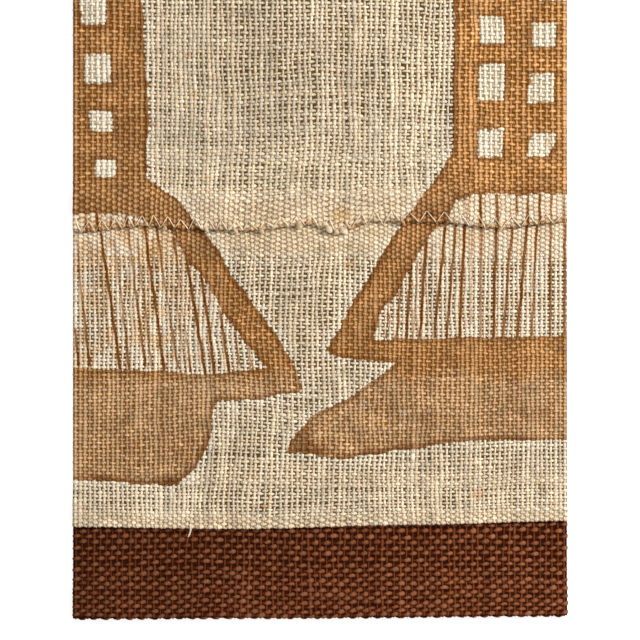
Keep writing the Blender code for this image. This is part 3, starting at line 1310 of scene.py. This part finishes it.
def weave(cloth, material):
    """All the yarns of one piece of cloth, in two meshes of wefts and two of warps."""
    rng = np.random.default_rng(cloth.seed)
    x, s = lattice(cloth, rng)
    light = column_light(rng, *x.shape)
    made = []
    for kind, yarns in (("wefts", weft_yarns), ("warps", warp_yarns)):
        for parity, letter in enumerate("ab"):
            path_x, path_s, height, wide, tints = yarns(cloth, x, s, light, parity, rng)
            half = cloth.weft_half if kind == "wefts" else cloth.warp_half
            # How far the float tops lighten, as dye wear and painted highlight
            stretch, round_share, wear_and_highlight = (1.0, 1.0, 0.60) if kind == "wefts" else (1.15, 0.6, 0.75)
            tall = cloth.thick * (0.60 + 0.40 * wide / half)
            points, normals = placed(cloth, path_x, path_s, height)
            name = f"{cloth.name}_{kind}_{letter}"
            piece, ring = tubes(name, points, normals, wide, tall, cloth.sides)
            # Painted shade: how high each point of the skin lies decides how dark its colour is
            up = round_share * tall[..., None] * np.sin(ring_turns(cloth.sides))
            up = (up + stretch * height[..., None]) * FULL_HEIGHT / (cloth.warp_rise + cloth.thick)
            tight = tightness(cloth, path_s)[..., None]
            dressed(piece, cloth, ring, tints, up, tight, wear_and_highlight)
            piece.data.materials.append(material)
            made.append(piece)
    return made


def base_sheet(cloth, material, across, along):
    """The closed sheet in the middle of the weave, which its yarns lie round, coloured as painted shade
    where it shows through the gaps.
    """
    half = 0.14
    inset = 0.35
    x = np.linspace(-WIDTH / 2, WIDTH / 2, across + 1)
    s = np.linspace(inset, cloth.section.length - inset, along + 1)
    grid_x, grid_s = np.meshgrid(x, s, indexing="ij")
    top, _ = placed(cloth, grid_x, grid_s, half + 0.0 * grid_x)
    under, _ = placed(cloth, grid_x, grid_s, -half + 0.0 * grid_x)
    points = np.concatenate((top.reshape(-1, 3), under.reshape(-1, 3)))
    index = np.arange(grid_x.size).reshape(grid_x.shape)
    face = np.stack((index[:-1, :-1], index[1:, :-1], index[1:, 1:], index[:-1, 1:]), axis=-1)
    back = face[..., ::-1] + grid_x.size
    rim = np.concatenate((index[:, 0], index[-1, 1:], index[-2::-1, -1], index[0, -2:0:-1]))
    next_rim = np.roll(rim, -1)
    walls = np.stack((rim, rim + grid_x.size, next_rim + grid_x.size, next_rim), axis=-1)
    faces = np.concatenate((face.reshape(-1, 4), back.reshape(-1, 4), walls))
    made = mesh_from(cloth.name, points, faces.ravel(), np.full(len(faces), 4))
    at, pitch = np.array(cloth.row_pitch).T
    openness = ease((np.interp(np.tile(grid_s.ravel(), 2), at, pitch) - 0.9) / 0.5)
    distance = painted_distance(points[:, 0], points[:, 1])
    square = in_squares(points[:, 0], points[:, 1])
    store(made, "pattern", "FLOAT_VECTOR", np.column_stack((distance, openness, square)))
    made.data.materials.append(material)
    return made


UPPER = Cloth(
    name="upper_cloth",
    node="upper_strip",
    slot="cream_cotton",
    section=layer_section(SEAM, TOP, LOWER_END, CREAM, CREAM),
    low_edge=SEAM,
    low_wave=SEAM_WAVE,
    high_edge=TOP,
    high_wave=TOP_WAVE,
    lines=UPPER_LINES,
    row_pitch=(
        (0.0, 0.88),
        (7.0, 0.92),
        (11.0, 1.08),
        (17.0, 1.34),
        (21.0, 1.56),
        (26.0, 1.22),
        (30.0, 1.42),
        (38.0, 1.46),
        (46.0, 1.66),
        (52.0, 1.54),
        (62.0, 1.72),
        (70.0, 1.50),
        (80.0, 1.68),
        (92.0, 1.56),
        (106.0, 1.50),
        (116.0, 1.30),
        (124.0, 0.98),
        (130.0, 0.90),
    ),
    column_pitch=(
        (0.0, 2.16),
        (28.0, 2.16),
        (34.0, 1.80),
        (54.0, 1.80),
        (62.0, 2.20),
        (125.0, 2.18),
        (140.0, 2.08),
        (170.0, 2.06),
        (180.0, 2.30),
        (198.0, 2.30),
    ),
    weft_half=0.71,
    warp_half=0.67,
    thick=0.34,
    weft_rise=0.15,
    warp_rise=0.40,
    slant=0.0,
    slant_more=0.11,
    weft_float=WEFT_FLOAT,
    warp_float=WARP_FLOAT,
    sides=5,
    seed=101,
    puckers=True,
)
LOWER = Cloth(
    name="lower_cloth",
    node="lower_strip",
    slot="cream_cotton",
    section=layer_section(BORDER_EDGE, LOWER_END, BORDER_END, BROWN, CREAM),
    low_edge=BORDER_EDGE,
    low_wave=BORDER_WAVE,
    high_edge=LOWER_END,
    high_wave=(),
    lines=with_faint_lines(LOWER_LINES),
    row_pitch=(
        (0.0, 0.98),
        (3.0, 1.12),
        (6.0, 1.36),
        (10.0, 1.66),
        (14.0, 1.52),
        (19.0, 1.16),
        (23.0, 1.50),
        (29.0, 1.72),
        (36.0, 1.44),
        (48.0, 1.36),
        (60.0, 1.50),
        (72.0, 1.38),
        (84.0, 1.42),
        (96.0, 1.50),
        (103.0, 1.50),
        (107.0, 1.22),
        (111.0, 0.92),
        (120.0, 0.84),
        (131.0, 0.84),
    ),
    column_pitch=(
        (0.0, 1.88),
        (60.0, 1.88),
        (78.0, 2.12),
        (105.0, 2.10),
        (125.0, 1.96),
        (150.0, 1.90),
        (198.0, 1.84),
    ),
    weft_half=0.63,
    warp_half=0.61,
    thick=0.33,
    weft_rise=0.14,
    warp_rise=0.38,
    slant=0.0,
    slant_more=0.10,
    weft_float=WEFT_FLOAT,
    warp_float=WARP_FLOAT,
    sides=5,
    seed=201,
)
BORDER = Cloth(
    name="border_cloth",
    node="border_band",
    slot="brown_cotton",
    section=border_section(),
    low_edge=BOTTOM,
    low_wave=HEM_WAVE,
    high_edge=BORDER_END,
    high_wave=(),
    lines=(),
    row_pitch=((0.0, 2.2), (8.0, 1.9), (11.0, 1.6), (16.0, 1.86), (24.0, 2.0), (34.0, 2.18), (60.0, 2.18)),
    column_pitch=((0.0, 2.44), (198.0, 2.42)),
    weft_half=0.52,
    warp_half=0.96,
    thick=0.42,
    weft_rise=0.13,
    warp_rise=0.48,
    slant=0.26,
    slant_more=0.05,
    weft_float=BORDER_WEFT,
    warp_float=BORDER_WARP,
    sides=6,
    seed=301,
)

# Painted shade in the gaps between the yarns, on the sheets inside the weaves: paler where the yarns are
# pressed together, darker where they lie open, paler in the bare squares, browner in the dye and darkest in
# the border
GAP_TIGHT = (0.20, 0.125, 0.055)
GAP_OPEN = (0.075, 0.042, 0.013)
GAP_BLEACHED = (0.34, 0.26, 0.16)
GAP_DYED = (0.14, 0.050, 0.006)
GAP_BROWN = (0.022, 0.0026, 0.0002)


def make_cloths(cream, brown):
    """The three woven pieces, each a base sheet with its yarns."""
    # The sheets inside the weaves carry painted shade for the gaps
    inside = gap_shade_material("weave_gap_shade", GAP_TIGHT, GAP_OPEN, GAP_BLEACHED, GAP_DYED)
    brown_gap_shade = gap_shade_material("border_gap_shade", GAP_BROWN, GAP_BROWN, GAP_BROWN, GAP_BROWN)
    woven = []
    for cloth, yarn, gap in ((UPPER, cream, inside), (LOWER, cream, inside), (BORDER, brown, brown_gap_shade)):
        woven.append((cloth, base_sheet(cloth, gap, 72, 60), weave(cloth, yarn)))
    return woven


def sewn(cloth, name, x, s, height, radius, flatness, sides, tints, material, drop=0.0, taken=1.0):
    """Tubes laid on a cloth outside its weave, in its dye and with their own tints."""
    points, normals = placed(cloth, x, s, height)
    points[..., 2] -= drop
    made, ring = tubes(name, points, normals, radius, radius * flatness, sides)
    # Painted shade: the tops of these tubes lighter and their undersides darker
    up = 0.45 + 0.3 * np.sin(ring_turns(sides)) + 0.0 * radius[..., None]
    dressed(made, cloth, ring, tints, up, 0.0, taken=taken)
    made.data.materials.append(material)
    return made


# The seam's zigzag stitching
STITCH_PITCH = ((0.0, 5.1), (60.0, 5.4), (72.0, 6.1), (118.0, 6.3), (124.0, 7.0), (150.0, 6.6), (198.0, 6.8))
STITCH_IN = 3.9
STITCH_OUT = -0.7
THREAD = 0.21
THREAD_TINT = (1.42, 1.36, 1.26)
THREAD_TAKEN = 0.4


def seam_stitching(material):
    """One long zigzag thread along the upper strip's edge, biting over it at each turn."""
    rng = np.random.default_rng(501)
    half_pitch = [(at, pitch / 2) for at, pitch in STITCH_PITCH]
    corner_x = paced(half_pitch, WIDTH) - WIDTH / 2
    turns = len(corner_x) - 1
    corner_x[1:-1] += rng.normal(size=turns - 1) * 0.30
    inner = np.arange(turns + 1) % 2 == 0
    corner_s = np.where(inner, STITCH_IN, STITCH_OUT) + rng.normal(size=turns + 1) * 0.32
    shares = np.array((0.0, 0.10, 0.35, 0.65, 0.90))
    stitch = np.repeat(np.arange(turns), len(shares))
    share = np.tile(shares, turns)
    x = corner_x[stitch] + (corner_x[stitch + 1] - corner_x[stitch]) * share
    s = corner_s[stitch] + (corner_s[stitch + 1] - corner_s[stitch]) * share
    on_top = UPPER.warp_rise + UPPER.thick + 0.5 * THREAD
    height = np.where(share == 0.0, -0.1, on_top)
    drop = 1.35 * ease(-s / 0.9)[None]
    rising = stitch % 2 == 1
    radius = np.where(rising, 0.85 * THREAD, THREAD)[None]
    light = np.where(rising, 0.95, 1.0) * rng.uniform(0.78, 1.05, turns)[stitch]
    tints = light[None, :, None] * np.array(THREAD_TINT)
    shape = (x[None], s[None], height[None], radius, 1.0, 6)
    return sewn(UPPER, "seam_stitching", *shape, tints, material, drop, THREAD_TAKEN)


# Lumps of yarn where a weft turns at the seam: x, length, half-width, tint
LUMPS = (
    (-23.6, 2.6, 1.00, (0.90, 0.86, 0.78)),
    (-8.2, 2.8, 1.30, (1.00, 1.00, 0.96)),
    (3.6, 2.8, 1.35, (0.98, 0.96, 0.90)),
    (6.6, 2.2, 0.90, (0.86, 0.80, 0.68)),
    (9.4, 3.0, 1.45, (1.04, 1.04, 1.02)),
    (-45.4, 2.6, 0.70, (0.95, 0.92, 0.86)),
    (-62.0, 2.4, 0.60, (0.90, 0.84, 0.74)),
    (33.0, 2.6, 0.65, (0.95, 0.92, 0.86)),
    (72.2, 5.4, 0.95, (0.85, 0.70, 0.45)),
    (-33.8, 2.6, 0.65, (0.90, 0.84, 0.74)),
)


def seam_lumps(material):
    """Thick turns of weft that bulge over the upper strip's edge."""
    rng = np.random.default_rng(601)
    share = np.linspace(-1.0, 1.0, 9)[None]
    middle, length, half = np.array([row[:3] for row in LUMPS]).T[..., None]
    tints = np.array([row[3] for row in LUMPS])[:, None] * (1.0 + 0.1 * share[..., None])
    lean = rng.uniform(-0.5, 0.5, (len(LUMPS), 1))
    x = middle + lean * share + 0.25 * np.sin(3.0 * share)
    s = length / 2 - 1.6 - length / 2 * share
    height = 0.55 - 0.9 * ease((share + 0.1) / 1.1) + 0.0 * x
    radius = half * (0.35 + 0.65 * np.sqrt(np.clip(1.0 - share**2, 0.0, 1.0)))
    return sewn(UPPER, "seam_lumps", x, s, height, radius, 0.62, 8, tints, material)


# A loose end over the border: where it leaves the cloth and how far it hangs
LOOSE_X = -52.0
LOOSE_LENGTH = 5.4


def loose_end(material):
    """One pale yarn end that has come out of the lower strip's edge."""
    share = np.linspace(0.0, 1.0, 12)[None]
    x = LOOSE_X + 0.5 * np.sin(3.6 * share) - 0.5 * share
    s = 1.6 - LOOSE_LENGTH * share
    radius = 0.42 * (1.0 - 0.55 * share**3)
    drop = 0.9 * ease((share - 0.3) / 0.4)
    tints = np.full((1, 12, 3), 1.15)
    return sewn(LOWER, "loose_end", x, s, 0.55 - 0.35 * share, radius, 0.8, 7, tints, material, drop)


# The camera looks straight down from far off. The picture is 256 mm wide on the cloth.
VIEW_WIDTH = 256.0
VIEW_MIDDLE = (0.0, -24.0)
VIEW_HEIGHT = 1300.0
SENSOR = 36.0
CLOTH_TOP = 1.4


def make_camera():
    data = bpy.data.cameras.new("camera")
    data.sensor_width = SENSOR
    data.lens = SENSOR * (VIEW_HEIGHT - CLOTH_TOP) / VIEW_WIDTH
    data.clip_start = 0.05
    data.clip_end = 20.0
    camera = bpy.data.objects.new("camera", data)
    camera.location = (VIEW_MIDDLE[0] * METRES, VIEW_MIDDLE[1] * METRES, VIEW_HEIGHT * METRES)
    bpy.context.scene.collection.objects.link(camera)
    bpy.context.scene.camera = camera


FLOOR_SIZE = 14.0
FLOOR_DROP = 0.0002


def make_floor():
    """A plain white floor, bright enough to stay white."""
    half = FLOOR_SIZE / 2
    mesh = bpy.data.meshes.new("floor")
    corners = [(-half, -half, 0), (half, -half, 0), (half, half, 0), (-half, half, 0)]
    mesh.from_pydata(corners, [], [(0, 1, 2, 3)])
    floor = bpy.data.objects.new("floor", mesh)
    floor.location.z = -FLOOR_DROP
    bpy.context.scene.collection.objects.link(floor)
    made, tree, shader = new_material("floor_white", 0.9, 0.0, 0.25)
    shader.inputs["Base Color"].default_value = (0.9, 0.9, 0.9, 1.0)
    shader.inputs["Emission Color"].default_value = (1.0, 1.0, 1.0, 1.0)
    shader.inputs["Emission Strength"].default_value = 0.5
    mesh.materials.append(made)


def area_light(name, place, size, power, colour):
    data = bpy.data.lights.new(name, "AREA")
    data.shape = "DISK"
    data.size = size
    data.energy = power
    data.color = colour
    light = bpy.data.objects.new(name, data)
    light.location = place
    aim = -np.array(place)
    flat = math.hypot(aim[0], aim[1])
    light.rotation_euler = (math.atan2(flat, -aim[2]), 0.0, math.atan2(-aim[0], aim[1]))
    bpy.context.scene.collection.objects.link(light)


def make_light():
    """Light from the right and a little above, a weak one from below, and a white surround."""
    area_light("key", (1.09, 0.51, 0.86), 0.34, 30.0, (1.0, 0.97, 0.93))
    area_light("fill", (-0.30, -1.10, 1.10), 0.60, 6.0, (1.0, 0.98, 0.96))
    world = bpy.data.worlds.new("surround")
    world.use_nodes = True
    world.node_tree.nodes["Background"].inputs["Color"].default_value = (1.0, 1.0, 1.0, 1.0)
    world.node_tree.nodes["Background"].inputs["Strength"].default_value = 0.45
    bpy.context.scene.world = world
    bpy.context.scene.view_settings.view_transform = "Standard"
    bpy.context.scene.view_settings.look = "None"


def declare(woven, extras):
    """Attaches every piece to the root body and hides the solids that the woven pieces stand in for."""
    for piece in [piece for pieces in extras.values() for piece in pieces]:
        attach(piece, "root")
    for cloth, base, yarns in woven:
        for piece in (base, *yarns):
            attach(piece, "root")
            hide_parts(cloth.node)


make_camera()
make_light()
make_floor()
cream = painted_cotton()
woven = make_cloths(cream, plain_yarn())
extras = {
    "upper_cloth": [seam_stitching(cream), seam_lumps(cream)],
    "lower_cloth": [loose_end(cream)],
}
declare(woven, extras)
